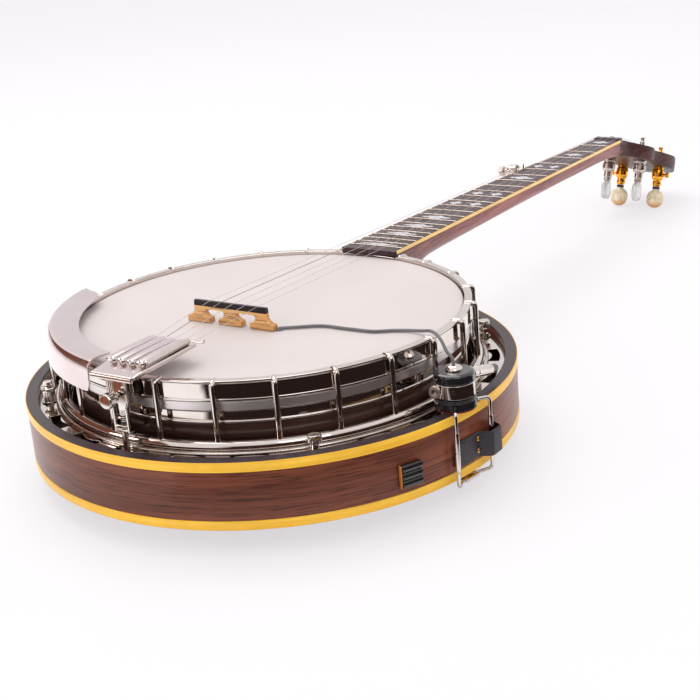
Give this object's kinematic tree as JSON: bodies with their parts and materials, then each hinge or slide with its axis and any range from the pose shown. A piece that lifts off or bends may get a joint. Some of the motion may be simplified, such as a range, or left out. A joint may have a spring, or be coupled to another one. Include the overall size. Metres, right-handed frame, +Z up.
{
  "type": "banjo",
  "caption": "Resonator banjo lying on its back: drum pot with slotted metal flange, long fretted neck with a side peg, armrest, tailpiece, bridge and a clip-on pickup jack.",
  "frame": {"origin": "where the pot axis meets the flat middle of the resonator back", "axes": "+Z up out of the drum head, +Y along the neck to the peghead, +X to the treble side"},
  "size_m": [0.3628, 0.9609, 0.1193],
  "materials": {
    "mahogany": "satin lacquer",
    "amber_binding": "gloss",
    "maple": "bare",
    "ebony": "bare",
    "bone": "satin",
    "head_film": "frosted",
    "nickel": "polished",
    "steel_wire": "drawn",
    "gold": "polished",
    "pearl_button": "polished",
    "clear_button": "translucent",
    "black_plastic": "satin",
    "black_leather": "smooth",
    "grey_cable": "smooth"
  },
  "bodies": {
    "pot_and_neck": {"armrest": "nickel", "armrest_clamp": "nickel", "bridge": "maple", "clamp_hook_left": "nickel", "clamp_hook_right": "nickel", "clamp_lower_bracket": "nickel", "clamp_pad": "black_leather", "coordinator_rod_lower": "steel_wire", "coordinator_rod_upper": "steel_wire", "drum_head": "head_film", "fifth_tuner_housing": "nickel", "fingerboard": "ebony", "flange_plate": "nickel", "flange_tube": "nickel", "jack_band": "nickel", "jack_base": "black_plastic", "jack_cap": "black_plastic", "jack_socket": "nickel", "neck": "mahogany", "nut": "bone", "pickup_lead": "grey_cable", "resonator_back": "mahogany", "resonator_bottom_binding": "amber_binding", "resonator_sidewall": "mahogany", "resonator_top_binding": "amber_binding", "side_clip": "black_plastic", "string_1": "steel_wire", "string_2": "steel_wire", "string_3": "steel_wire", "string_4": "steel_wire", "string_5": "steel_wire", "tailpiece": "nickel", "tailpiece_bracket": "nickel", "tension_hoop": "nickel", "tone_ring": "nickel", "truss_rod_cover": "black_plastic", "tuner_1_housing": "nickel", "tuner_2_housing": "nickel", "tuner_3_housing": "gold", "tuner_4_housing": "gold", "wood_rim": "mahogany"},
    "tuner_1_knob": {"tuner_1_button": "clear_button"},
    "tuner_1_capstan": {"tuner_1_post": "nickel"},
    "tuner_2_knob": {"tuner_2_button": "clear_button"},
    "tuner_2_capstan": {"tuner_2_post": "nickel"},
    "tuner_3_knob": {"tuner_3_button": "pearl_button"},
    "tuner_3_capstan": {"tuner_3_post": "gold"},
    "tuner_4_knob": {"tuner_4_button": "pearl_button"},
    "tuner_4_capstan": {"tuner_4_post": "gold"},
    "fifth_tuner_knob": {"fifth_tuner_button": "nickel"},
    "fifth_tuner_capstan": {"fifth_tuner_post": "nickel"},
    "resonator_screw_1_turns": {"resonator_screw_1": "nickel"},
    "resonator_screw_2_turns": {"resonator_screw_2": "nickel"},
    "resonator_screw_3_turns": {"resonator_screw_3": "nickel"},
    "resonator_screw_4_turns": {"resonator_screw_4": "nickel"},
    "tailpiece_adjuster_turns": {"tailpiece_adjuster": "nickel"},
    "armrest_clamp_screw_turns": {"armrest_clamp_screw": "nickel"},
    "clamp_barrel_1_turns": {"clamp_barrel_1": "nickel"},
    "clamp_barrel_2_turns": {"clamp_barrel_2": "nickel"}
  },
  "joints": [
    {"name": "tuner_1_button_spin", "type": "hinge", "parent": "pot_and_neck", "child": "tuner_1_knob", "pos_m": [-0.018, 0.6718, 0.04263], "axis": [0, 0.3502, 0.9367], "continuous": true},
    {"name": "tuner_1_post_spin", "type": "hinge", "parent": "pot_and_neck", "child": "tuner_1_capstan", "pos_m": [-0.018, 0.68416, 0.07569], "axis": [0, 0.3502, 0.9367], "continuous": true},
    {"name": "tuner_2_button_spin", "type": "hinge", "parent": "pot_and_neck", "child": "tuner_2_knob", "pos_m": [0.018, 0.6718, 0.04263], "axis": [0, 0.3502, 0.9367], "continuous": true},
    {"name": "tuner_2_post_spin", "type": "hinge", "parent": "pot_and_neck", "child": "tuner_2_capstan", "pos_m": [0.018, 0.68416, 0.07569], "axis": [0, 0.3502, 0.9367], "continuous": true},
    {"name": "tuner_3_button_spin", "type": "hinge", "parent": "pot_and_neck", "child": "tuner_3_knob", "pos_m": [-0.0215, 0.71904, 0.02336], "axis": [0, 0.3502, 0.9367], "continuous": true},
    {"name": "tuner_3_post_spin", "type": "hinge", "parent": "pot_and_neck", "child": "tuner_3_capstan", "pos_m": [-0.0215, 0.73193, 0.05783], "axis": [0, 0.3502, 0.9367], "continuous": true},
    {"name": "tuner_4_button_spin", "type": "hinge", "parent": "pot_and_neck", "child": "tuner_4_knob", "pos_m": [0.0215, 0.71904, 0.02336], "axis": [0, 0.3502, 0.9367], "continuous": true},
    {"name": "tuner_4_post_spin", "type": "hinge", "parent": "pot_and_neck", "child": "tuner_4_capstan", "pos_m": [0.0215, 0.73193, 0.05783], "axis": [0, 0.3502, 0.9367], "continuous": true},
    {"name": "fifth_tuner_button_spin", "type": "hinge", "parent": "pot_and_neck", "child": "fifth_tuner_knob", "pos_m": [-0.02226, 0.4745, 0.09533], "axis": [-0.9976, 0, -0.0698], "continuous": true},
    {"name": "fifth_tuner_post_spin", "type": "hinge", "parent": "pot_and_neck", "child": "fifth_tuner_capstan", "pos_m": [-0.02226, 0.4745, 0.09533], "axis": [-0.9976, 0, -0.0698], "continuous": true},
    {"name": "resonator_screw_1_spin", "type": "hinge", "parent": "pot_and_neck", "child": "resonator_screw_1_turns", "pos_m": [0.11349, 0.11349, 0.0578], "axis": [0, 0, 1], "continuous": true},
    {"name": "resonator_screw_2_spin", "type": "hinge", "parent": "pot_and_neck", "child": "resonator_screw_2_turns", "pos_m": [0.11349, -0.11349, 0.0578], "axis": [0, 0, 1], "continuous": true},
    {"name": "resonator_screw_3_spin", "type": "hinge", "parent": "pot_and_neck", "child": "resonator_screw_3_turns", "pos_m": [-0.11349, -0.11349, 0.0578], "axis": [0, 0, 1], "continuous": true},
    {"name": "resonator_screw_4_spin", "type": "hinge", "parent": "pot_and_neck", "child": "resonator_screw_4_turns", "pos_m": [-0.11349, 0.11349, 0.0578], "axis": [0, 0, 1], "continuous": true},
    {"name": "tailpiece_adjuster_spin", "type": "hinge", "parent": "pot_and_neck", "child": "tailpiece_adjuster_turns", "pos_m": [-0.001, -0.1603, 0.0965], "axis": [0, -1, 0], "continuous": true},
    {"name": "armrest_clamp_screw_spin", "type": "hinge", "parent": "pot_and_neck", "child": "armrest_clamp_screw_turns", "pos_m": [-0.10069, -0.12434, 0.0742], "axis": [0, 0, 1], "continuous": true},
    {"name": "clamp_barrel_1_spin", "type": "hinge", "parent": "pot_and_neck", "child": "clamp_barrel_1_turns", "pos_m": [0.17527, -0.04598, 0.026], "axis": [0, 0, 1], "continuous": true},
    {"name": "clamp_barrel_2_spin", "type": "hinge", "parent": "pot_and_neck", "child": "clamp_barrel_2_turns", "pos_m": [0.18092, -0.01012, 0.026], "axis": [0, 0, 1], "continuous": true}
  ],
  "couplings": [
    {"joint": "tuner_1_post_spin", "follows": "tuner_1_button_spin", "ratio": 0.25},
    {"joint": "tuner_2_post_spin", "follows": "tuner_2_button_spin", "ratio": 0.25},
    {"joint": "tuner_3_post_spin", "follows": "tuner_3_button_spin", "ratio": 0.25},
    {"joint": "tuner_4_post_spin", "follows": "tuner_4_button_spin", "ratio": 0.25},
    {"joint": "fifth_tuner_post_spin", "follows": "fifth_tuner_button_spin", "ratio": 0.25}
  ]
}
